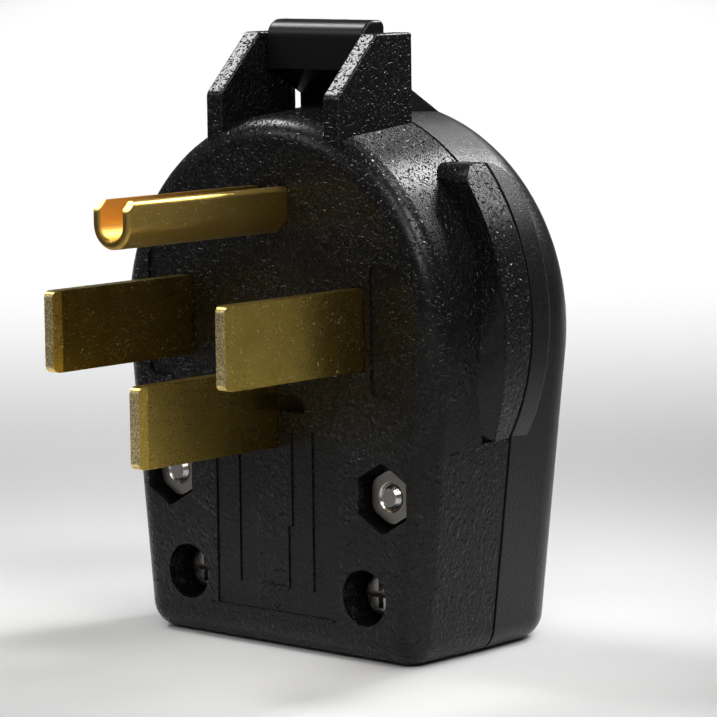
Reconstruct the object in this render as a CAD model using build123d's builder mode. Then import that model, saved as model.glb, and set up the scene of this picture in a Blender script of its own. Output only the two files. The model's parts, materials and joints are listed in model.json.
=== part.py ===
from build123d import *
from math import acos, atan2, degrees, hypot, sqrt
import os

os.makedirs("parts", exist_ok=True)

# Angled plug: two moulded shells, four brass prongs with their wire terminals, and a cord clamp.
# Origin: centre of the cord inlet on the base, in the plane where the two shells meet.
# +X is to the right of someone facing the prongs, -Y points to the socket, +Z up to the handle.
# All sizes are in millimetres.

# Shells: a round top whose sides taper to the base
arch_centre_z = 51.0
face_arch_r = 33.5
joint_arch_r = 35.1
rear_arch_r = 34.4
face_base_half = 28.7
joint_base_half = 29.2
rear_base_half = 28.6
base_corner_r = 4.5
face_depth = 18.4
cover_depth = 17.8
face_edge_r = 4.2
rear_edge_r = 8.0
joint_groove_half = 0.2
joint_groove_depth = 0.3
wall = 3.0
face_wall = 6.0
base_wall = 4.5
inlet_r = 12.0

# Side grips: pads that stand proud of both shells; low down their front runs out as a finger ramp
grip_crest_r = 37.9
grip_centre_z = 52.8
grip_root_r = 32.4
grip_front_y = -7.2
grip_rear_y = 4.6
grip_end_r = 4.6
grip_rear_edge_r = 0.4
grip_ramp_z = 62.0
# Height of a level, then the front of the pad there at its root and at its crest
grip_levels = ((34.5, -10.7, -1.9), (48.0, -10.1, -5.2), (grip_ramp_z, -7.1, -6.6), (77.4, -6.8, -6.8))
# Shallow pocket in the wall at the foot of the ramp
ramp_pocket_depth = 1.2
pocket_low_y = -6.4
pocket_high_y = -8.0
pocket_top_z = 44.0

# Handle: two ears on the front shell and a hooked bar of the cover between them
ear_gap = 21.4
ear_thickness = 3.4
ear_front_y = -17.6
ear_slope_z = 87.9
ear_top_z = 97.3
ear_flat = 8.4
ear_corner_r = 2.2
ear_foot_r = 1.5
ear_slope_r = 1.0
ear_edge_r = 0.4
ear_root_z = 74.0
bar_clearance = 0.3
bar_front_y = -7.4
bar_depth = 5.2
bar_top_z = 99.3
bar_height = 7.8
bar_edge_r = 2.8
bar_back_r = 1.2
bar_end_r = 0.6
neck_half = 9.8
neck_front_z = 87.3
neck_rear_y = 4.4
neck_rear_z = 88.2
gusset_foot_y = 11.7
gusset_foot_z = 84.0
neck_root_z = 74.0

# Prongs
blade_width = 12.7
blade_thickness = 2.4
blade_length = 30.7
blade_tip_run = 1.8
blade_tip_step = 0.34
blade_corner_r = 1.2
hot_x = 18.23
hot_z = 52.4
neutral_z = 38.9
ground_length = 34.9
ground_width = 7.7
ground_height = 7.4
ground_bottom_z = 66.4
ground_wall = 1.5
ground_tip_r = 0.6
ground_tip_cut = 1.6
ground_lip_r = 0.9
slot_clearance = 0.15
foot_slot_end_x = 7.05
foot_slot_low_z = 38.3
foot_slot_high_z = 41.0

# Wire terminals on the tails of the prongs
tail_reach = 5.0
block_length = 9.5
block_width = 12.2
block_height = 6.5
block_edge = 1.0
bead_width = 6.4
bead_depth = 0.9
clip_width = 6.0
clip_thickness = 0.8
clip_gap = 0.15
clip_height = 9.5
clip_bend_r = 0.7
clip_tip_r = 1.2
tail_stop_gap = 0.2
tail_stop_width = 5.0
tail_stop_height = 8.0

# Fasteners
thread_r = 2.0
thread_gap = 0.05
thread_bevel = 0.6
pass_gap = 0.3
hex_flats = 7.8
hex_head_height = 2.8
slot_width = 1.0
slot_depth = 1.1
hex_edge = 0.4
screw_end = 0.8
pan_head_r = 4.0
pan_head_height = 3.1
pan_head_edge_r = 1.4
cross_length = 4.4
cross_width = 1.0
cross_depth = 1.6
nut_thickness = 3.2
nut_countersink = 0.4
nut_x = 22.8
nut_z = 26.4
nut_recess = 2.2
nut_seat_gap = 0.1
pocket_flats = 9.8
pocket_depth = 3.6
nut_boss_r = 5.0
cover_boss_r = 5.6
cover_head_recess = 1.9
head_gap = 0.45
cover_screw_past = 0.5

# Cord clamp
clamp_x = 18.9
clamp_z = 10.4
clamp_head_recess = 4.0
clamp_boss_r = 6.2
saddle_thickness = 2.0
saddle_gap = 0.2
saddle_width = 10.0
saddle_half = 23.5
saddle_corner_r = 2.0

# Marks moulded into the face
plate_x = 23.8
plate_z = 52.4
plate_width = 6.3
plate_height = 20.6
plate_corner_r = 1.5
plate_depth = 0.35
gauge_half = 12.4
gauge_low_z = 5.9
gauge_lane_z = 10.1
gauge_jog_z = 20.1
gauge_high_z = 35.4
gauge_end_x = -2.9
# Across the gauge, then the lower and the upper end of each lane line
gauge_lanes = (
    (-gauge_half, gauge_low_z, gauge_high_z),
    (-7.4, gauge_lane_z, gauge_high_z),
    (3.1, gauge_lane_z, gauge_jog_z),
    (3.9, gauge_jog_z, gauge_high_z),
    (8.3, gauge_lane_z, gauge_high_z),
)
gauge_line = 0.5
gauge_rise = 0.25

# Places that follow from the sizes above
face_plane = Plane.XZ.offset(face_depth)
inner_face_y = face_wall - face_depth
inner_face_plane = Plane.XZ.offset(-inner_face_y)
terminal_y = inner_face_y + block_length / 2
seat_r = ground_width / 2
ground_centre_z = ground_bottom_z + seat_r
nut_floor_y = nut_recess + nut_thickness - face_depth
cover_bearing_y = cover_depth - cover_head_recess - pan_head_height
clamp_bearing_y = clamp_head_recess + pan_head_height - face_depth
saddle_front_y = -saddle_thickness / 2
clip_inner = block_width / 2 - clip_thickness
foot_slot_x = (blade_thickness / 2 + foot_slot_end_x) / 2
nut_sites = [(-nut_x, nut_z), (nut_x, nut_z)]
clamp_sites = [(-clamp_x, clamp_z), (clamp_x, clamp_z)]
overlap = 1.0
far = 2 * bar_top_z


def shell_outline(y, arch_r, base_half, floor_z=0.0):
    """Round-topped outline across the plug at depth y, with sides that run tangent to the arch."""
    rise = arch_centre_z - floor_z
    taper = degrees(atan2(rise, base_half) - acos(arch_r / hypot(rise, base_half)))
    with BuildSketch(Plane.XZ.offset(-y)) as outline:
        with BuildLine():
            arch = CenterArc((0, arch_centre_z), arch_r, -taper, 180 + 2 * taper)
            Polyline(arch @ 1, (-base_half, floor_z), (base_half, floor_z), arch @ 0)
        make_face()
    return outline.sketch


# Side grips, one pad through both shells that is cut at the joint, and its mirror image
grip_bottom_z = grip_levels[0][0]
grip_top_z = grip_levels[-1][0]
with BuildPart() as grips:
    for level_z, root_y, crest_y in grip_levels:
        root_x = sqrt(grip_root_r**2 - (level_z - arch_centre_z) ** 2)
        crest_x = sqrt((grip_crest_r + overlap) ** 2 - (level_z - grip_centre_z) ** 2)
        with BuildSketch(Plane.XY.offset(level_z)):
            with BuildLine():
                Polyline(
                    (root_x, root_y),
                    (crest_x, crest_y),
                    (crest_x, grip_rear_y),
                    (root_x, grip_rear_y),
                    close=True,
                )
            make_face()
    loft()
    with BuildSketch(Plane.XZ):
        with Locations((0, grip_centre_z)):
            Circle(grip_crest_r)
    extrude(amount=far, both=True, mode=Mode.INTERSECT)
    with BuildSketch(Plane.YZ) as grip_side:
        with Locations((grip_rear_y, grip_top_z)):
            Rectangle(grip_rear_y - grip_front_y, grip_top_z - grip_bottom_z, align=(Align.MAX, Align.MAX))
        fillet(grip_side.vertices().group_by(Axis.Y)[-1], grip_end_r)
        with Locations((grip_rear_y, grip_ramp_z)):
            Rectangle(far, grip_ramp_z - grip_bottom_z, align=(Align.MAX, Align.MAX))
    extrude(amount=far, mode=Mode.INTERSECT)
    fillet(grips.faces().sort_by(Axis.Y)[-1].edges().sort_by(Axis.X)[-1], grip_rear_edge_r)
    mirror(about=Plane.YZ)

# Pockets at the foot of the ramps, down to a set depth in the wall
with BuildPart() as ramp_pockets:
    with BuildSketch(Plane.YZ):
        with BuildLine():
            Polyline(
                (pocket_low_y, grip_bottom_z),
                (pocket_high_y, pocket_top_z),
                (0, pocket_top_z),
                (0, grip_bottom_z),
                close=True,
            )
        make_face()
    extrude(amount=far, both=True)
    loft(
        [
            shell_outline(-face_depth, face_arch_r - ramp_pocket_depth, face_base_half - ramp_pocket_depth),
            shell_outline(0, joint_arch_r - ramp_pocket_depth, joint_base_half - ramp_pocket_depth),
        ],
        ruled=True,
        mode=Mode.SUBTRACT,
    )

# Groove round the joint, half of it in each shell and none in the base
core_arch_r = joint_arch_r - joint_groove_depth
core_base_half = joint_base_half - joint_groove_depth
core_grip_r = grip_crest_r - joint_groove_depth
with BuildPart() as joint_core:
    extrude(shell_outline(-overlap, core_arch_r, core_base_half), amount=2 * overlap, dir=(0, 1, 0))
    core_base = joint_core.faces().sort_by(Axis.Z)[0].edges().sort_by(Axis.X)
    fillet([core_base[0], core_base[-1]], base_corner_r)
    with BuildSketch(Plane.XZ):
        with Locations((0, grip_centre_z)):
            Circle(core_grip_r)
        with Locations((0, grip_bottom_z + joint_groove_depth)):
            Rectangle(
                far,
                grip_top_z - grip_bottom_z - 2 * joint_groove_depth,
                align=(Align.CENTER, Align.MIN),
                mode=Mode.INTERSECT,
            )
    extrude(amount=overlap, both=True)
    with BuildSketch(Plane.XY):
        Rectangle(2 * (joint_base_half - base_corner_r), 2 * overlap)
    extrude(amount=-overlap)

with BuildPart() as joint_groove:
    with BuildSketch(Plane.XZ):
        Rectangle(far, far)
    extrude(amount=joint_groove_half, both=True)
    add(joint_core.part, mode=Mode.SUBTRACT)

# Hollows of the two shells
with BuildPart() as front_hollow:
    loft(
        [
            shell_outline(inner_face_y, face_arch_r - wall, face_base_half - wall, base_wall),
            shell_outline(0, joint_arch_r - wall, joint_base_half - wall, base_wall),
        ],
        ruled=True,
    )

with BuildPart() as rear_hollow:
    loft(
        [
            shell_outline(0, joint_arch_r - wall, joint_base_half - wall, base_wall),
            shell_outline(cover_depth - wall, rear_arch_r - wall, rear_base_half - wall, base_wall),
        ],
        ruled=True,
    )
    fillet(
        rear_hollow.faces().sort_by(Axis.Y)[-1].edges().sort_by(Axis.Z)[1:],
        rear_edge_r - wall,
    )

# Ears of the handle
with BuildPart() as ears:
    for ear_x in (ear_gap / 2, -ear_gap / 2 - ear_thickness):
        with BuildSketch(Plane.YZ.offset(ear_x)) as ear:
            with BuildLine():
                Polyline(
                    (ear_front_y, ear_root_z),
                    (ear_front_y, ear_slope_z),
                    (-ear_flat, ear_top_z),
                    (0, ear_top_z),
                    (0, ear_root_z),
                    close=True,
                )
            make_face()
            slope_foot = ear.vertices().group_by(Axis.X)[0].sort_by(Axis.Y)[-1]
            slope_top, rear_corner = ear.vertices().group_by(Axis.Y)[-1].sort_by(Axis.X)
            fillet(slope_foot, ear_foot_r)
            fillet(slope_top, ear_slope_r)
            fillet(rear_corner, ear_corner_r)
        extrude(amount=ear_thickness)
    fillet(ears.edges() - ears.edges().group_by(Axis.Z)[0], ear_edge_r)

# Front housing
with BuildPart() as front_housing:
    loft(
        [
            shell_outline(-face_depth, face_arch_r, face_base_half, -overlap),
            shell_outline(0, joint_arch_r, joint_base_half, -overlap),
        ],
        ruled=True,
    )
    split(bisect_by=Plane.XY, keep=Keep.TOP)
    front_base = front_housing.faces().sort_by(Axis.Z)[0].edges().sort_by(Axis.X)
    fillet([front_base[0], front_base[-1]], base_corner_r)
    fillet(front_housing.faces().sort_by(Axis.Y)[0].edges(), face_edge_r)
    add(ramp_pockets.part, mode=Mode.SUBTRACT)
    add(grips.part)
    split(bisect_by=Plane.XZ, keep=Keep.TOP)
    add(joint_groove.part, mode=Mode.SUBTRACT)
    add(ears.part)
    add(front_hollow.part, mode=Mode.SUBTRACT)
    # Bosses behind the nuts and around the clamp screws
    with BuildSketch(Plane.XZ):
        with Locations(*nut_sites):
            Circle(nut_boss_r)
    extrude(amount=overlap - inner_face_y)
    with BuildSketch(Plane.XZ.offset(-saddle_front_y)):
        with Locations(*clamp_sites):
            Circle(clamp_boss_r)
    extrude(amount=saddle_front_y - inner_face_y + overlap)
    # Half of the cord inlet
    with BuildSketch(Plane.XY):
        Circle(inlet_r)
    extrude(amount=base_wall, mode=Mode.SUBTRACT)
    # Slots of the blades, the neutral one with room for the foot of an angled blade
    with BuildSketch(face_plane):
        with Locations((-hot_x, hot_z), (hot_x, hot_z), (0, neutral_z)):
            Rectangle(blade_thickness + 2 * slot_clearance, blade_width + 2 * slot_clearance)
        with Locations((foot_slot_x, (foot_slot_low_z + foot_slot_high_z) / 2)):
            Rectangle(foot_slot_end_x - blade_thickness / 2, foot_slot_high_z - foot_slot_low_z)
    extrude(amount=-face_wall, mode=Mode.SUBTRACT)
    # Channel-shaped slot of the ground pin
    with BuildSketch(face_plane):
        with Locations((0, ground_centre_z)):
            Circle(seat_r + slot_clearance)
            Rectangle(
                ground_width + 2 * slot_clearance,
                ground_height - seat_r + slot_clearance,
                align=(Align.CENTER, Align.MIN),
            )
            Circle(seat_r - ground_wall - slot_clearance, mode=Mode.SUBTRACT)
            Rectangle(
                ground_width - 2 * (ground_wall + slot_clearance),
                ground_height,
                align=(Align.CENTER, Align.MIN),
                mode=Mode.SUBTRACT,
            )
    extrude(amount=-face_wall, mode=Mode.SUBTRACT)
    # Nut pockets, nut seats and screw holes
    with BuildSketch(face_plane):
        with Locations(*nut_sites):
            RegularPolygon(pocket_flats / 2, 6, major_radius=False, rotation=90)
    extrude(amount=-pocket_depth, mode=Mode.SUBTRACT)
    with BuildSketch(face_plane):
        with Locations(*nut_sites):
            RegularPolygon(hex_flats / 2 + nut_seat_gap, 6, major_radius=False, rotation=90)
    extrude(amount=-nut_recess - nut_thickness, mode=Mode.SUBTRACT)
    with BuildSketch(face_plane):
        with Locations(*nut_sites, *clamp_sites):
            Circle(thread_r + pass_gap)
    extrude(amount=-face_depth, mode=Mode.SUBTRACT)
    with BuildSketch(face_plane):
        with Locations(*clamp_sites):
            Circle(pan_head_r + head_gap)
    extrude(amount=-clamp_head_recess - pan_head_height, mode=Mode.SUBTRACT)
    # Bare plates beside the hot blades and the lines of the strip gauge
    with BuildSketch(face_plane):
        with Locations((-plate_x, plate_z), (plate_x, plate_z)):
            RectangleRounded(plate_width, plate_height, plate_corner_r)
    extrude(amount=-plate_depth, mode=Mode.SUBTRACT)
    with BuildSketch(face_plane):
        with Locations((0, gauge_low_z)):
            Rectangle(2 * gauge_half + gauge_line, gauge_line)
        with Locations((gauge_end_x, gauge_lane_z)):
            Rectangle(gauge_lanes[2][0] - gauge_end_x, gauge_line, align=(Align.MIN, Align.CENTER))
        for lane_x, low_z, high_z in gauge_lanes:
            with Locations((lane_x, low_z)):
                Rectangle(gauge_line, high_z - low_z, align=(Align.CENTER, Align.MIN))
    extrude(amount=gauge_rise)
front_housing.part.label = "front_housing"
export_step(front_housing.part, "parts/front_housing.step")

# Hooked arm of the handle, which reaches forward between the ears
with BuildPart() as arm:
    with BuildSketch(Plane.YZ) as hook:
        with BuildLine():
            Polyline(
                (bar_front_y, bar_top_z - bar_height),
                (bar_front_y, bar_top_z),
                (bar_front_y + bar_depth, bar_top_z),
                (bar_front_y + bar_depth, bar_top_z - bar_edge_r),
                (neck_rear_y, neck_rear_z),
                (0, neck_front_z),
                close=True,
            )
        make_face()
        fillet(hook.vertices().group_by(Axis.Y)[-1].sort_by(Axis.X)[0], bar_edge_r)
        fillet(hook.vertices().group_by(Axis.Y)[-1].sort_by(Axis.X)[-1], bar_back_r)
    extrude(amount=ear_gap / 2 - bar_clearance, both=True)
    arm_ends = arm.faces().sort_by(Axis.X)
    fillet(arm_ends[0].edges() + arm_ends[-1].edges(), bar_end_r)

# Rear cover
with BuildPart() as rear_cover:
    loft(
        [
            shell_outline(0, joint_arch_r, joint_base_half, -overlap),
            shell_outline(cover_depth, rear_arch_r, rear_base_half, -overlap),
        ],
        ruled=True,
    )
    split(bisect_by=Plane.XY, keep=Keep.TOP)
    fillet(rear_cover.faces().sort_by(Axis.Y)[-1].edges().sort_by(Axis.Z)[1:], rear_edge_r)
    fillet(rear_cover.faces().sort_by(Axis.Z)[0].edges().sort_by(Axis.Y)[1:], base_corner_r)
    add(grips.part)
    split(bisect_by=Plane.XZ, keep=Keep.BOTTOM)
    add(joint_groove.part, mode=Mode.SUBTRACT)
    # Neck with its sloping gusset, and the hooked arm
    with BuildSketch(Plane.YZ):
        with BuildLine():
            Polyline(
                (0, neck_root_z),
                (0, neck_front_z),
                (neck_rear_y, neck_rear_z),
                (gusset_foot_y, gusset_foot_z),
                (gusset_foot_y, neck_root_z),
                close=True,
            )
        make_face()
    extrude(amount=neck_half, both=True)
    add(arm.part)
    add(rear_hollow.part, mode=Mode.SUBTRACT)
    # Screw bosses and the stops behind the tails of the prongs
    with BuildSketch(Plane.XZ):
        with Locations(*nut_sites):
            Circle(cover_boss_r)
    extrude(amount=wall - cover_depth)
    with BuildSketch(Plane.XZ.offset(-tail_reach - tail_stop_gap)):
        with Locations((-hot_x, hot_z), (hot_x, hot_z), (0, neutral_z)):
            Rectangle(tail_stop_width, tail_stop_height)
        with Locations((0, ground_bottom_z)):
            Rectangle(tail_stop_height, tail_stop_width)
    extrude(amount=tail_reach + tail_stop_gap + wall - overlap - cover_depth)
    # Half of the cord inlet
    with BuildSketch(Plane.XY):
        Circle(inlet_r)
    extrude(amount=base_wall, mode=Mode.SUBTRACT)
    # Counterbored screw holes from the back
    with BuildSketch(Plane.XZ.offset(-cover_depth)):
        with Locations(*nut_sites):
            Circle(thread_r + pass_gap)
    extrude(amount=cover_depth, mode=Mode.SUBTRACT)
    with BuildSketch(Plane.XZ.offset(-cover_depth)):
        with Locations(*nut_sites):
            Circle(pan_head_r + head_gap)
    extrude(amount=cover_head_recess + pan_head_height, mode=Mode.SUBTRACT)
rear_cover.part.label = "rear_cover"
export_step(rear_cover.part, "parts/rear_cover.step")

# Terminal planes: local z along the terminal screw, local y to the rear, origin on the tail
half_blade = blade_thickness / 2
tail_top_z = ground_bottom_z + ground_wall
terminals = {
    "ground": Plane((0, terminal_y, tail_top_z), x_dir=(1, 0, 0), z_dir=(0, 0, 1)),
    "neutral": Plane((half_blade, terminal_y, neutral_z), x_dir=(0, 0, -1), z_dir=(1, 0, 0)),
    "hot_left": Plane((half_blade - hot_x, terminal_y, hot_z), x_dir=(0, 0, -1), z_dir=(1, 0, 0)),
    "hot_right": Plane((hot_x - half_blade, terminal_y, hot_z), x_dir=(0, 0, 1), z_dir=(-1, 0, 0)),
}
blade_names = {"neutral": "neutral_blade", "hot_left": "hot_blade_left", "hot_right": "hot_blade_right"}
tail_end = tail_reach - terminal_y


def edge_plane(terminal):
    """Plane along a terminal's tail seen from its edge: x to the rear, y along the screw."""
    return Plane(terminal.origin, x_dir=terminal.y_dir, z_dir=terminal.x_dir)


def end_plane(terminal):
    """Plane across a terminal seen along the prong: x across the tail, y along the screw."""
    return Plane(terminal.origin, x_dir=terminal.x_dir, z_dir=-terminal.y_dir)


def bead_points(thickness):
    """Underside of the pressed bead that holds the clip, from the rear to the front."""
    foot = bead_width / 2 + bead_depth
    return [
        (foot, -thickness),
        (bead_width / 2, -thickness - bead_depth),
        (-bead_width / 2, -thickness - bead_depth),
        (-foot, -thickness),
    ]


channel_points = [
    (-bead_width / 2, 0),
    (-bead_width / 2, -bead_depth),
    (bead_width / 2, -bead_depth),
    (bead_width / 2, 0),
]

# Straight blades, drawn from the edge with their tapered tip and the bead under the clip
blade_tip = -face_depth - blade_length - terminal_y
for name, node in blade_names.items():
    with BuildPart() as blade:
        with BuildSketch(edge_plane(terminals[name])):
            with BuildLine():
                Polyline(
                    (blade_tip, -blade_thickness + blade_tip_step),
                    (blade_tip, -blade_tip_step),
                    (blade_tip + blade_tip_run, 0),
                    *channel_points,
                    (tail_end, 0),
                    (tail_end, -blade_thickness),
                    *bead_points(blade_thickness),
                    (blade_tip + blade_tip_run, -blade_thickness),
                    close=True,
                )
            make_face()
        extrude(amount=blade_width / 2, both=True)
        tip_edges = blade.edges().filter_by(Axis.X).group_by(Axis.Y)[0]
        fillet(tip_edges, blade_corner_r)
        with BuildSketch(terminals[name]):
            Circle(thread_r + thread_gap)
        extrude(amount=-far, mode=Mode.SUBTRACT)
    blade.part.label = node
    export_step(blade.part, f"parts/{node}.step")

# Ground pin: a folded channel that runs out into a flat tail
ground_tip_y = -face_depth - ground_length
ground_top_z = ground_bottom_z + ground_height
with BuildPart() as ground_pin:
    with BuildSketch(inner_face_plane):
        with Locations((0, ground_centre_z)):
            Circle(seat_r)
            Rectangle(ground_width, ground_height - seat_r, align=(Align.CENTER, Align.MIN))
            Circle(seat_r - ground_wall, mode=Mode.SUBTRACT)
            Rectangle(
                ground_width - 2 * ground_wall,
                ground_height,
                align=(Align.CENTER, Align.MIN),
                mode=Mode.SUBTRACT,
            )
    extrude(amount=inner_face_y - ground_tip_y)
    lips = ground_pin.edges().filter_by(Axis.Y).group_by(Axis.Z)[-1].sort_by(Axis.X)
    fillet([lips[0], lips[-1]], ground_lip_r)
    with BuildSketch(Plane.YZ):
        with BuildLine():
            Polyline(
                (ground_tip_y, ground_top_z - ground_tip_cut),
                (ground_tip_y, ground_top_z),
                (ground_tip_y + ground_tip_cut, ground_top_z),
                close=True,
            )
        make_face()
    extrude(amount=far, both=True, mode=Mode.SUBTRACT)
    tip_rim = ground_pin.faces().sort_by(Axis.Y)[0].edges()
    fillet(tip_rim, ground_tip_r)
    with BuildSketch(edge_plane(terminals["ground"])):
        with BuildLine():
            Polyline(
                (-block_length / 2, 0),
                *channel_points,
                (tail_end, 0),
                (tail_end, -ground_wall),
                *bead_points(ground_wall),
                (-block_length / 2, -ground_wall),
                close=True,
            )
        make_face()
    extrude(amount=blade_width / 2, both=True)
    with BuildSketch(terminals["ground"]):
        Circle(thread_r + thread_gap)
    extrude(amount=-far, mode=Mode.SUBTRACT)
ground_pin.part.label = "ground_pin"
export_step(ground_pin.part, "parts/ground_pin.step")

# Pressure blocks and their clips
for name, terminal in terminals.items():
    with BuildPart() as block:
        with BuildSketch(terminal):
            Rectangle(block_width, block_length)
        extrude(amount=block_height)
        chamfer(block.faces().sort_by(Axis(terminal.origin, terminal.z_dir))[-1].edges(), block_edge)
        with BuildSketch(terminal):
            Circle(thread_r + pass_gap)
            with Locations((-block_width / 2, 0), (block_width / 2, 0)):
                Rectangle(2 * (clip_thickness + clip_gap), clip_width + 2 * clip_gap)
        extrude(amount=block_height, mode=Mode.SUBTRACT)
    block.part.label = f"{name}_wire_block"
    export_step(block.part, f"parts/{name}_wire_block.step")

    with BuildPart() as clip:
        with BuildSketch(end_plane(terminal)) as bent_strip:
            with Locations((0, -bead_depth)):
                Rectangle(block_width, clip_height + bead_depth, align=(Align.CENTER, Align.MIN))
            with Locations((0, clip_thickness - bead_depth)):
                Rectangle(
                    2 * clip_inner,
                    2 * clip_height,
                    align=(Align.CENTER, Align.MIN),
                    mode=Mode.SUBTRACT,
                )
            fillet(bent_strip.vertices().group_by(Axis.Y)[0], clip_bend_r)
        extrude(amount=clip_width / 2, both=True)
        across = Axis(terminal.origin, terminal.x_dir)
        along_screw = Axis(terminal.origin, terminal.z_dir)
        fillet(clip.edges().filter_by(across).group_by(along_screw)[-1], clip_tip_r)
        with BuildSketch(terminal):
            Circle(thread_r + pass_gap)
        extrude(amount=-far, mode=Mode.SUBTRACT)
    clip.part.label = f"{name}_clip"
    export_step(clip.part, f"parts/{name}_clip.step")


def hex_prism(flats, height):
    """Hexagon with its corners turned off at both ends, standing on the origin."""
    with BuildPart() as prism:
        with BuildSketch():
            RegularPolygon(flats / 2, 6, major_radius=False, rotation=90)
        extrude(amount=height)
        corner_r = prism.vertices().sort_by(Axis.Y)[-1].Y
    with BuildPart() as turned:
        with BuildSketch():
            Circle(corner_r)
        extrude(amount=height)
        chamfer(turned.edges().filter_by(GeomType.CIRCLE), hex_edge)
        add(prism.part, mode=Mode.INTERSECT)
    return turned.part


# Slotted hex-head terminal screw, drawn with its head seated on the origin
with BuildPart() as hex_screw:
    add(hex_prism(hex_flats, hex_head_height))
    with BuildSketch(Plane.XY.offset(hex_head_height)):
        Rectangle(2 * hex_flats, slot_width)
    extrude(amount=-slot_depth, mode=Mode.SUBTRACT)
    with BuildSketch():
        Circle(thread_r)
    extrude(amount=-block_height - blade_thickness - bead_depth - screw_end)

with BuildPart() as terminal_screws:
    with Locations(*[terminals[name].offset(block_height) for name in blade_names]):
        add(hex_screw.part)
terminal_screws.part.label = "terminal_screws"
export_step(terminal_screws.part, "parts/terminal_screws.step")

with BuildPart() as ground_screw:
    with Locations(terminals["ground"].offset(block_height)):
        add(hex_screw.part)
ground_screw.part.label = "ground_screw"
export_step(ground_screw.part, "parts/ground_screw.step")

# Nuts in the pockets of the face
with BuildPart() as nut:
    add(hex_prism(hex_flats, nut_thickness))
    with BuildSketch():
        Circle(thread_r + thread_gap)
    extrude(amount=nut_thickness, mode=Mode.SUBTRACT)
    chamfer(nut.faces().sort_by(Axis.Z)[-1].inner_wires()[0].edges(), nut_countersink)

with BuildPart() as cover_nuts:
    for x, z in nut_sites:
        with Locations(Plane((x, nut_floor_y, z), x_dir=(1, 0, 0), z_dir=(0, -1, 0))):
            add(nut.part)
cover_nuts.part.label = "cover_nuts"
export_step(cover_nuts.part, "parts/cover_nuts.step")


def pan_screw(length):
    """Cross-head screw with its head seated on the origin and its shank along -Z."""
    with BuildPart() as screw:
        with BuildSketch():
            Circle(pan_head_r)
        extrude(amount=pan_head_height)
        fillet(screw.edges().sort_by(Axis.Z)[-1], pan_head_edge_r)
        with BuildSketch(Plane.XY.offset(pan_head_height)):
            Rectangle(cross_length, cross_width)
            Rectangle(cross_width, cross_length)
        extrude(amount=-cross_depth, mode=Mode.SUBTRACT)
        with BuildSketch():
            Circle(thread_r)
        extrude(amount=-length)
        chamfer(screw.edges().sort_by(Axis.Z)[0], thread_bevel)
    return screw.part


# Cover screws from the back, and the clamp screws from the face
with BuildPart() as cover_screws:
    for x, z in nut_sites:
        with Locations(Plane((x, cover_bearing_y, z), x_dir=(1, 0, 0), z_dir=(0, 1, 0))):
            add(pan_screw(cover_bearing_y - nut_floor_y + nut_thickness + cover_screw_past))
cover_screws.part.label = "cover_screws"
export_step(cover_screws.part, "parts/cover_screws.step")

with BuildPart() as clamp_screws:
    for x, z in clamp_sites:
        with Locations(Plane((x, clamp_bearing_y, z), x_dir=(1, 0, 0), z_dir=(0, -1, 0))):
            add(pan_screw(-clamp_bearing_y - saddle_front_y + screw_end))
clamp_screws.part.label = "clamp_screws"
export_step(clamp_screws.part, "parts/clamp_screws.step")

# Cord clamp: a saddle bent round the back of the cord
saddle_r = inlet_r + saddle_gap
with BuildPart() as cord_clamp:
    with BuildSketch(Plane.XY.offset(clamp_z - saddle_width / 2)):
        Circle(saddle_r + saddle_thickness)
        Rectangle(2 * saddle_half, saddle_thickness)
        Circle(saddle_r, mode=Mode.SUBTRACT)
        with Locations((0, saddle_front_y)):
            Rectangle(far, far, align=(Align.CENTER, Align.MAX), mode=Mode.SUBTRACT)
    extrude(amount=saddle_width)
    foot_ends = cord_clamp.edges().filter_by(Axis.Y)
    fillet(foot_ends.group_by(Axis.X)[0] + foot_ends.group_by(Axis.X)[-1], saddle_corner_r)
    with BuildSketch(Plane.XZ.offset(-saddle_front_y)):
        with Locations(*clamp_sites):
            Circle(thread_r + thread_gap)
    extrude(amount=-saddle_thickness, mode=Mode.SUBTRACT)
cord_clamp.part.label = "cord_clamp"
export_step(cord_clamp.part, "parts/cord_clamp.step")
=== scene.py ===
import json
import math

import bmesh
import bpy
from mathutils import Matrix, Vector


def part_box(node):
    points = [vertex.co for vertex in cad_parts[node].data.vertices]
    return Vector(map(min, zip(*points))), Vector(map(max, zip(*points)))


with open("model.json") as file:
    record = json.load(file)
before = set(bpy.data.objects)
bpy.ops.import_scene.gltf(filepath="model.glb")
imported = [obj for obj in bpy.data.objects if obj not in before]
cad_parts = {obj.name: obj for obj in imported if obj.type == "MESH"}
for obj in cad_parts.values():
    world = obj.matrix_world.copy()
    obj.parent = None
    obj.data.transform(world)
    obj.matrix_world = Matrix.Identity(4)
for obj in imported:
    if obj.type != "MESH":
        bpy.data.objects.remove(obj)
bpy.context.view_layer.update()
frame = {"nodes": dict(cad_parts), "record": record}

# Finishes, floor, light and camera of the angled plug. Lengths are in metres, in the frame of the model.
nodes = frame["nodes"]
MM = 0.001

# Places on the housing that the finishes follow, in millimetres
FACE_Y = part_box("front_housing")[0].y / MM
HANDLE_Z = 88.0
GRIP_CENTRE_Z = 52.8
GRIP_FOOT_R = 34.9
GRIP_CREST_R = 37.7
RAMP_TOP_Z = 56.0
# Half-width and blur of the painted shade along the joint of the shells, wider than the groove there
JOINT_SHADE_HALF = 0.36
JOINT_SHADE_BLUR = 0.04
GAUGE_LEFT = -12.4
GAUGE_RIGHT = 14.2
GAUGE_LOW = 5.9
GAUGE_HIGH = 35.4
GAUGE_GRAIN_LEFT = -3.4
GAUGE_GRAIN_RIGHT = 3.0

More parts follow.
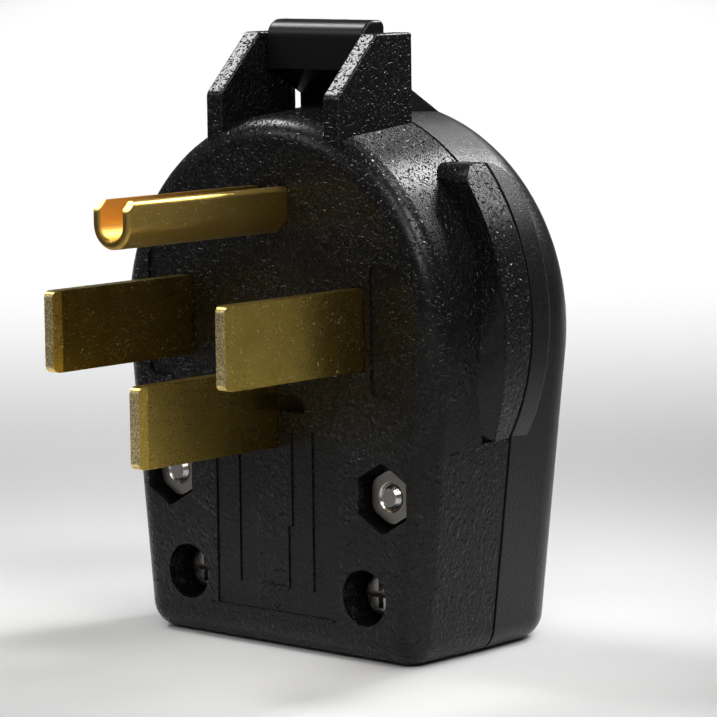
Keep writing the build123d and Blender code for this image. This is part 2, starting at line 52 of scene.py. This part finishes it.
# Places on the prongs, the nuts and the screws, in millimetres
BLADE_TIP_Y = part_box("hot_blade_left")[0].y / MM
GROUND_TIP_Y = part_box("ground_pin")[0].y / MM
PRONG_GAP_Z = 63.0
CHANNEL_HALF = 2.7
CHANNEL_Z = 68.2
# Stretch of the ground pin's channel, measured from its tip, that has a painted highlight on its inner walls
CHANNEL_HIGHLIGHT_START = 8.0
CHANNEL_HIGHLIGHT_END = 16.0
# Reach of the painted shade on the prongs, out from the face
FOOT_SHADE_REACH = 14.0
NUT_X = 22.8
NUT_Z = 26.4
NUT_R = 4.5
THREAD_R = 2.0
FACE_SCREW_DEPTH = 6.0

# Widths of the patterns in the finishes, in millimetres, and how many times longer the streaks are than wide
FRONT_WORM = 1.15
FRONT_FINE = 0.22
COVER_WORM = 0.6
COVER_FINE = 0.2
BRASS_LINE = 0.14
BRASS_LINE_STRETCH = 60
BRASS_SPECK_WIDTH = 0.34
BRASS_CLOUD = 5.0
BRASS_STAIN = 0.3
BRASS_PIT_WIDTH = 0.25
NICKEL_CLOUD = 1.2
HANDLING_MARK = 0.12
HANDLING_MARK_STRETCH = 12

# Heights of the reliefs, in millimetres
FRONT_RELIEF = 0.12
COVER_RELIEF = 0.02
BRASS_RELIEF = 0.0004
PLATING_RELIEF = 0.008

# Plain surface of each finish, before its pattern changes it
FRONT_ROUGHNESS = 0.22
COVER_ROUGHNESS = 0.26
BRASS_ROUGHNESS = 0.24
NICKEL_ROUGHNESS = 0.16
JOINT_ROUGHNESS = 0.5
MOULDING_SPECULAR = 0.3
MOULDING_IOR = 1.47

# Black of the mouldings: between the worms, on them, and a painted shade in the joint of the shells
FRONT_GROUND = 0.004
FRONT_CREST = 0.007
COVER_GROUND = 0.006
COVER_CREST = 0.009
JOINT_SHADE_BLACK = 0.001
MOULDING_WARMTH = 0.03
CREST_SHARE = 0.6

# Colours of the brass, among them painted shade near and inside the face, painted glints on the specks and a
# painted highlight in the ground pin's channel
BRASS_DARK = (0.60, 0.415, 0.075, 1.0)
BRASS_LIGHT = (0.88, 0.63, 0.15, 1.0)
BRASS_PIN = (0.90, 0.60, 0.16, 1.0)
BRASS_MOTTLE = (0.30, 0.185, 0.03, 1.0)
BRASS_FOOT_SHADE = (0.36, 0.22, 0.035, 1.0)
BRASS_INSIDE_SHADE = (0.30, 0.20, 0.06, 1.0)
BRASS_SPECK_GLINT = (1.0, 0.86, 0.50, 1.0)
BRASS_CHANNEL_HIGHLIGHT = (0.95, 0.58, 0.13, 1.0)
BRASS_BLADE_END = (0.95, 0.78, 0.40, 1.0)
BRASS_PIN_END = (0.20, 0.12, 0.03, 1.0)
BRASS_PIT = (0.12, 0.07, 0.02, 1.0)

# Colours of the green plating
GREEN_BRIGHT = (0.05, 0.30, 0.11, 1.0)
GREEN_DULL = (0.03, 0.22, 0.07, 1.0)


class Value:
    """A shader socket that takes part in arithmetic: each operator adds a Math node."""

    def __init__(self, finish, socket):
        self.finish = finish
        self.socket = socket

    def maths(self, operation, *terms):
        return self.finish.node("ShaderNodeMath", {"operation": operation}, dict(enumerate(terms)))

    def __add__(self, other):
        return self.maths("ADD", self, other)

    def __radd__(self, other):
        return self.maths("ADD", other, self)

    def __sub__(self, other):
        return self.maths("SUBTRACT", self, other)

    def __rsub__(self, other):
        return self.maths("SUBTRACT", other, self)

    def __mul__(self, other):
        return self.maths("MULTIPLY", self, other)

    def __abs__(self):
        return self.maths("ABSOLUTE", self)

    def root(self):
        return self.maths("SQRT", self)

    def least(self, other):
        return self.maths("MINIMUM", self, other)


class Finish:
    """A material with a principled surface, built from nodes and expressions."""

    def __init__(self, name, **surface):
        self.material = bpy.data.materials.new(name)
        self.material.use_nodes = True
        self.tree = self.material.node_tree
        self.surface = self.tree.nodes["Principled BSDF"]
        for socket_name, value in surface.items():
            self.socket(socket_name).default_value = value
        self.place = self.node("ShaderNodeTexCoord", output="Object")

    def socket(self, name):
        """The input of the surface that a plain lower-case name stands for."""
        return self.surface.inputs[name.replace("_", " ").title().replace("Ior", "IOR")]

    def connect(self, **sockets):
        for name, value in sockets.items():
            self.tree.links.new(value.socket, self.socket(name))

    def node(self, kind, settings=None, sockets=None, output=0):
        made = self.tree.nodes.new(kind)
        for name, setting in (settings or {}).items():
            setattr(made, name, setting)
        for key, value in (sockets or {}).items():
            if isinstance(value, Value):
                self.tree.links.new(value.socket, made.inputs[key])
            else:
                made.inputs[key].default_value = value
        return Value(self, made.outputs[output])

    def axes(self):
        """The place on the plug as three values in millimetres."""
        in_mm = self.node(
            "ShaderNodeVectorMath", {"operation": "SCALE"}, {0: self.place, "Scale": 1 / MM}
        )
        return [self.node("ShaderNodeSeparateXYZ", None, {0: in_mm}, axis) for axis in "XYZ"]

    def noise(self, size, detail=0.0, shift=0.0, stretch=(1, 1, 1)):
        """Soft random value from 0 to 1 whose patches are about size millimetres wide."""
        scale = [1 / (size * part * MM) for part in stretch]
        place = self.node(
            "ShaderNodeMapping",
            None,
            {"Vector": self.place, "Location": (shift, shift, shift), "Scale": scale},
        )
        return self.node("ShaderNodeTexNoise", None, {"Vector": place, "Scale": 1.0, "Detail": detail})

    def rise(self, value, low, high):
        """0 below low, 1 above high, smooth between; low above high turns it round."""
        return self.node(
            "ShaderNodeMapRange",
            {"interpolation_type": "SMOOTHSTEP"},
            {"Value": value, "From Min": low, "From Max": high},
        )

    def above(self, value, edge, blur):
        """1 above an edge and 0 below it, smooth over the blur on either side."""
        return self.rise(value, edge - blur, edge + blur)

    def below(self, value, edge, blur):
        """1 below an edge and 0 above it, smooth over the blur on either side."""
        return self.rise(value, edge + blur, edge - blur)

    def tint(self, share, first, second):
        """A colour between first and second."""
        return self.node(
            "ShaderNodeMix", {"data_type": "RGBA"}, {0: share, 6: first, 7: second}, output=2
        )

    def layers(self, colour, *coats):
        """A colour with others laid over it in turn, each a share and a colour."""
        for share, coat in coats:
            colour = self.tint(share, colour, coat)
        return colour

    def bump(self, height, depth):
        """Normals of a relief depth millimetres high."""
        return self.node(
            "ShaderNodeBump", None, {"Height": height, "Distance": depth * MM, "Strength": 1.0}
        )


def grey(level, warmth=0.0):
    """A near-neutral colour, a little warmer or cooler."""
    return (level * (1 + warmth), level, level * (1 - warmth), 1.0)


def distance(across, along):
    """Length of the way that two values at right angles make."""
    return (across * across + along * along).root()


def worm_grain(finish, size, shift):
    """Short raised worms of moulded grain: broken contour lines of a soft noise."""
    contour = abs(finish.noise(size, shift=shift) - 0.5)
    worms = finish.rise(contour, 0.24, 0.1)
    gaps = finish.rise(finish.noise(size * 0.6, shift=shift + 7.3), 0.45, 0.52)
    return worms * gaps


def moulding_black(finish, grain, joint_shade, ground, crest):
    """Black that is a little lighter on the grain, with painted shade darkest in the joint of the shells."""
    return finish.layers(
        grey(ground, MOULDING_WARMTH),
        (grain * CREST_SHARE, grey(crest, MOULDING_WARMTH)),
        (joint_shade, grey(JOINT_SHADE_BLACK)),
    )


def front_moulding():
    """Black moulding with a coarse worm grain, smooth on the finger ramps and in the gauge lanes."""
    finish = Finish("black_front_moulding", specular_ior_level=MOULDING_SPECULAR, ior=MOULDING_IOR)
    x, y, z = finish.axes()
    worms = worm_grain(finish, FRONT_WORM, shift=3.1)
    fine = finish.noise(FRONT_FINE, detail=2.0, shift=1.7)
    from_grip_centre = distance(abs(x), z - GRIP_CENTRE_Z)
    on_ramp = (
        finish.above(from_grip_centre, GRIP_FOOT_R, 0.2)
        * finish.below(from_grip_centre, GRIP_CREST_R, 0.1)
        * finish.rise(z, RAMP_TOP_Z + 6, RAMP_TOP_Z - 4)
    )
    in_gauge = (
        finish.rise(y, FACE_Y + 0.9, FACE_Y + 0.5)
        * finish.above(x, GAUGE_LEFT, 0.1)
        * finish.below(x, GAUGE_RIGHT, 0.4)
        * finish.above(z, GAUGE_LOW, 0.1)
        * finish.below(z, GAUGE_HIGH, 0.3)
    )
    grain_lane = finish.above(x, GAUGE_GRAIN_LEFT, 0.4) * finish.below(x, GAUGE_GRAIN_RIGHT, 0.1)
    smooth = (on_ramp * 0.85 + in_gauge * (1 - grain_lane) * 0.8).least(1.0)
    # Painted shade along the joint of the shells, over and beside the groove
    joint_shade = finish.below(abs(y), JOINT_SHADE_HALF, JOINT_SHADE_BLUR)
    grain = worms * (1 - smooth)
    finish.connect(
        base_color=moulding_black(finish, grain, joint_shade, FRONT_GROUND, FRONT_CREST),
        roughness=FRONT_ROUGHNESS + fine * 0.10 + joint_shade * JOINT_ROUGHNESS,
        normal=finish.bump(grain + fine * 0.03, FRONT_RELIEF),
    )
    return finish.material


def cover_moulding():
    """Black moulding with a finer, shallower grain, almost smooth on the handle bar."""
    finish = Finish("black_cover_moulding", specular_ior_level=MOULDING_SPECULAR, ior=MOULDING_IOR)
    _, y, z = finish.axes()
    worms = worm_grain(finish, COVER_WORM, shift=9.4)
    fine = finish.noise(COVER_FINE, detail=2.0, shift=4.2)
    on_handle = finish.above(z, HANDLE_Z, 1.0)
    # Painted shade along the joint of the shells, not on the handle bar
    joint_shade = finish.below(abs(y), JOINT_SHADE_HALF, JOINT_SHADE_BLUR) * (1 - on_handle)
    grain = worms * (1 - on_handle * 0.92)
    finish.connect(
        base_color=moulding_black(finish, grain, joint_shade, COVER_GROUND, COVER_CREST),
        roughness=COVER_ROUGHNESS + fine * 0.12 + joint_shade * JOINT_ROUGHNESS,
        normal=finish.bump(grain + fine * 0.1, COVER_RELIEF),
    )
    return finish.material


def rolled_brass():
    """Satin brass strip: fine rolling lines along the prongs, specks with painted glints, painted shade near
    the face and inside it, and a painted highlight in the ground pin's channel.
    """
    finish = Finish("rolled_brass", metallic=1.0)
    x, y, z = finish.axes()
    lines = finish.noise(BRASS_LINE, detail=2.0, shift=2.2, stretch=(1, BRASS_LINE_STRETCH, 1))
    # Specks: rougher spots with a pale colour painted on them as glints
    speck_glints = finish.rise(finish.noise(BRASS_SPECK_WIDTH, shift=5.5), 0.76, 0.80)
    clouds = finish.noise(BRASS_CLOUD, detail=3.0, shift=8.1)
    mottle = finish.noise(BRASS_STAIN, detail=3.0, shift=3.7)
    stains = finish.rise(mottle, 0.65, 0.35)
    pits = finish.rise(finish.noise(BRASS_PIT_WIDTH, detail=2.0, shift=6.1), 0.42, 0.58)
    # Painted shade on the prongs near the face, and darker still inside the housing
    foot_shade = finish.rise(y, FACE_Y - FOOT_SHADE_REACH, FACE_Y)
    inside_shade = finish.rise(y, FACE_Y + 0.2, FACE_Y + 1.0)
    on_blades = finish.below(z, PRONG_GAP_Z, 1.0)
    on_pin = 1 - on_blades
    blade_end = finish.rise(y, BLADE_TIP_Y + 0.25, BLADE_TIP_Y + 0.1) * on_blades
    pin_end = finish.rise(y, GROUND_TIP_Y + 0.5, GROUND_TIP_Y + 0.2)
    # Painted highlight on the lit inner walls of the ground pin's channel
    channel_highlight = (
        finish.rise(abs(x), CHANNEL_HALF, CHANNEL_HALF - 0.3)
        * finish.above(z, CHANNEL_Z, 0.2)
        * finish.rise(y, GROUND_TIP_Y + CHANNEL_HIGHLIGHT_END, GROUND_TIP_Y + CHANNEL_HIGHLIGHT_START)
    )
    colour = finish.layers(
        finish.tint(clouds, BRASS_DARK, BRASS_LIGHT),
        (on_pin * 0.7, BRASS_PIN),
        (stains * 0.12, BRASS_MOTTLE),
        (foot_shade * 0.6, BRASS_FOOT_SHADE),
        (inside_shade, BRASS_INSIDE_SHADE),
        (speck_glints, BRASS_SPECK_GLINT),
        (channel_highlight, BRASS_CHANNEL_HIGHLIGHT),
        (blade_end, BRASS_BLADE_END),
        (pin_end * 0.7, BRASS_PIN_END),
        (blade_end * pits * 0.6, BRASS_PIT),
    )
    surface_marks = lines * 0.03 + mottle * 0.05 + speck_glints * 0.3
    by_place = inside_shade * 0.2 + blade_end * 0.14 + on_pin * 0.08 + channel_highlight * 0.14
    finish.connect(
        base_color=colour,
        roughness=BRASS_ROUGHNESS + surface_marks + by_place,
        normal=finish.bump(mottle, BRASS_RELIEF),
    )
    return finish.material


def handling_marks(finish):
    """Fine upright marks of handling in a plating."""
    return finish.noise(HANDLING_MARK, detail=2.0, shift=1.3, stretch=(1, 1, HANDLING_MARK_STRETCH))


def plated_steel(name, bright, dull, roughness, cloud):
    """Plated steel with soft clouds in the plating and fine marks of handling."""
    finish = Finish(name, metallic=1.0)
    clouds = finish.noise(cloud, detail=3.0, shift=6.6)
    marks = handling_marks(finish)
    finish.connect(
        base_color=finish.tint(clouds, bright, dull),
        roughness=roughness + marks * 0.14,
        normal=finish.bump(marks, PLATING_RELIEF),
    )
    return finish.material


def nickel_plating():
    """Nickel plating: painted shade on the nut flats, bright round their threads, darker on the thread ends,
    and painted shade on the screws in the counterbores.
    """
    finish = Finish("nickel_plating", metallic=1.0)
    x, y, z = finish.axes()
    clouds = finish.noise(NICKEL_CLOUD, detail=3.0, shift=6.6)
    marks = handling_marks(finish)
    from_thread = distance(abs(x) - NUT_X, z - NUT_Z)
    at_face = finish.rise(y, FACE_Y + FACE_SCREW_DEPTH + 1.0, FACE_Y + FACE_SCREW_DEPTH)
    on_nut = at_face * finish.below(from_thread, NUT_R, 1.0)
    # Painted shade on the nut flats, which leaves the plating bright round the threads
    nut_flat_shade = on_nut * finish.rise(from_thread, THREAD_R + 0.4, THREAD_R + 0.5)
    thread_end = on_nut * finish.rise(from_thread, THREAD_R - 0.6, THREAD_R - 0.7)
    colour = finish.layers(
        finish.tint(clouds, grey(0.60, 0.03), grey(0.44, 0.04)),
        (nut_flat_shade, grey(0.21, 0.08)),
        (thread_end, grey(0.26, 0.05)),
        # Painted shade on the screws down in the counterbores
        (at_face * (1 - on_nut) * 0.7, grey(0.25, 0.06)),
    )
    finish.connect(
        base_color=colour,
        roughness=NICKEL_ROUGHNESS + marks * 0.12 + nut_flat_shade * 0.1 + thread_end * 0.15,
        normal=finish.bump(marks, PLATING_RELIEF),
    )
    return finish.material


def pale_floor():
    """Plain matt white floor."""
    finish = Finish("pale_floor", specular_ior_level=0.1, roughness=0.9, base_color=grey(0.9))
    return finish.material


finishes = {
    "front_plastic": front_moulding(),
    "cover_plastic": cover_moulding(),
    "prong_brass": rolled_brass(),
    "zinc_steel": plated_steel("zinc_steel", grey(0.62), grey(0.48), roughness=0.26, cloud=1.6),
    "nickel_steel": nickel_plating(),
    "green_steel": plated_steel("green_steel", GREEN_BRIGHT, GREEN_DULL, roughness=0.3, cloud=1.4),
}
for subpart in frame["record"]["subparts"]:
    node = nodes[subpart["node"]]
    node.data.materials.clear()
    node.data.materials.append(finishes[subpart["material_slot"]])

# Floor
FLOOR_R = 6.0
FLOOR_SEGMENTS = 96
floor_mesh = bpy.data.meshes.new("floor")
shape = bmesh.new()
bmesh.ops.create_circle(shape, cap_ends=True, radius=FLOOR_R, segments=FLOOR_SEGMENTS)
shape.to_mesh(floor_mesh)
shape.free()
floor = bpy.data.objects.new("floor", floor_mesh)
floor.data.materials.append(pale_floor())
bpy.context.scene.collection.objects.link(floor)

# Camera at the viewing angle of the photograph
VIEW_AZIMUTH = math.radians(41.483)
VIEW_ELEVATION = math.radians(7.258)
VIEW_ROLL = math.radians(-0.672)
VIEW_DISTANCE = 552.818 * MM
VIEW_TARGET = Vector((13.027, -12.4, 46.9)) * MM
FOCAL_PIXELS = 3536.959
IMAGE_PIXELS = 717
SENSOR = 36.0
CLIP_START = 0.01
back = Vector(
    (
        math.sin(VIEW_AZIMUTH) * math.cos(VIEW_ELEVATION),
        -math.cos(VIEW_AZIMUTH) * math.cos(VIEW_ELEVATION),
        math.sin(VIEW_ELEVATION),
    )
)
camera = bpy.data.objects.new("camera", bpy.data.cameras.new("camera"))
camera.data.sensor_width = SENSOR
camera.data.lens = FOCAL_PIXELS / IMAGE_PIXELS * SENSOR
camera.data.clip_start = CLIP_START
camera.location = VIEW_TARGET + back * VIEW_DISTANCE
turn = (-back).to_track_quat("-Z", "Y").to_matrix() @ Matrix.Rotation(VIEW_ROLL, 3, "Z")
camera.rotation_euler = turn.to_euler()
bpy.context.scene.collection.objects.link(camera)
bpy.context.scene.camera = camera

# Studio light: gridded softboxes round the plug, each with its direction, size and power in watts
LIGHT_CENTRE = Vector((0.005, -0.005, 0.085))
SOFTBOX_DISTANCE = 0.6
SOFTBOX_SPREAD = math.radians(24)
softboxes = {
    "key_softbox": ((-0.66, -0.06, 0.75), 0.20, 0.062),
    "front_softbox": ((0.30, -0.56, 0.77), 0.20, 0.015),
    "left_softbox": ((-0.58, -0.66, 0.48), 0.20, 0.011),
    "right_softbox": ((0.57, -0.63, 0.52), 0.22, 0.030),
    "upper_right_softbox": ((0.66, -0.15, 0.73), 0.22, 0.050),
    "zenith_softbox": ((0.32, 0.22, 0.92), 0.22, 0.032),
    "rear_right_softbox": ((0.38, 0.75, 0.54), 0.20, 0.022),
    "rear_softbox": ((0.10, 0.74, 0.66), 0.12, 0.050),
    "rear_left_softbox": ((-0.26, 0.78, 0.56), 0.20, 0.008),
}
# Lamps that face down on the floor, in line behind and before the plug as the camera sees it:
# where each starts along the view, and its power in watts
FLOOR_LAMP_LENGTH = 5.2
FLOOR_LAMP_WIDTH = 1.3
FLOOR_LAMP_HEIGHT = 1.0
FLOOR_LAMP_SPREAD = math.radians(44)
floor_lamps = {"rear_strip": (0.24, 23.0), "front_strip": (-5.6, 20.0)}
UP = Vector((0.0, 0.0, 1.0))


def add_softbox(name, place, facing, along, width, depth, power, spread):
    """Rectangular area lamp that faces a direction, with its depth along another."""
    lamp = bpy.data.lights.new(name, "AREA")
    lamp.shape = "RECTANGLE"
    lamp.size = width
    lamp.size_y = depth
    lamp.energy = power
    lamp.spread = spread
    box = bpy.data.objects.new(name, lamp)
    behind = -facing.normalized()
    across = along.cross(behind).normalized()
    turn = Matrix((across, behind.cross(across), behind)).transposed()
    box.matrix_world = Matrix.Translation(place) @ turn.to_4x4()
    bpy.context.scene.collection.objects.link(box)


for name, (direction, size, power) in softboxes.items():
    towards = Vector(direction).normalized()
    place = LIGHT_CENTRE + towards * SOFTBOX_DISTANCE
    add_softbox(name, place, -towards, UP, size, size, power, SOFTBOX_SPREAD)

away = Vector((-back.x, -back.y, 0.0)).normalized()
sideways = away.cross(UP)
view_middle = sideways * VIEW_TARGET.dot(sideways)
for name, (start, power) in floor_lamps.items():
    place = view_middle + away * (start + FLOOR_LAMP_LENGTH / 2) + UP * FLOOR_LAMP_HEIGHT
    add_softbox(name, place, -UP, away, FLOOR_LAMP_WIDTH, FLOOR_LAMP_LENGTH, power, FLOOR_LAMP_SPREAD)

# Dim surroundings
SURROUNDINGS_STRENGTH = 0.09
world = bpy.data.worlds.new("studio")
world.use_nodes = True
surroundings = world.node_tree.nodes["Background"].inputs
surroundings["Color"].default_value = grey(1.0)
surroundings["Strength"].default_value = SURROUNDINGS_STRENGTH
bpy.context.scene.world = world
bpy.context.scene.view_settings.view_transform = "Standard"
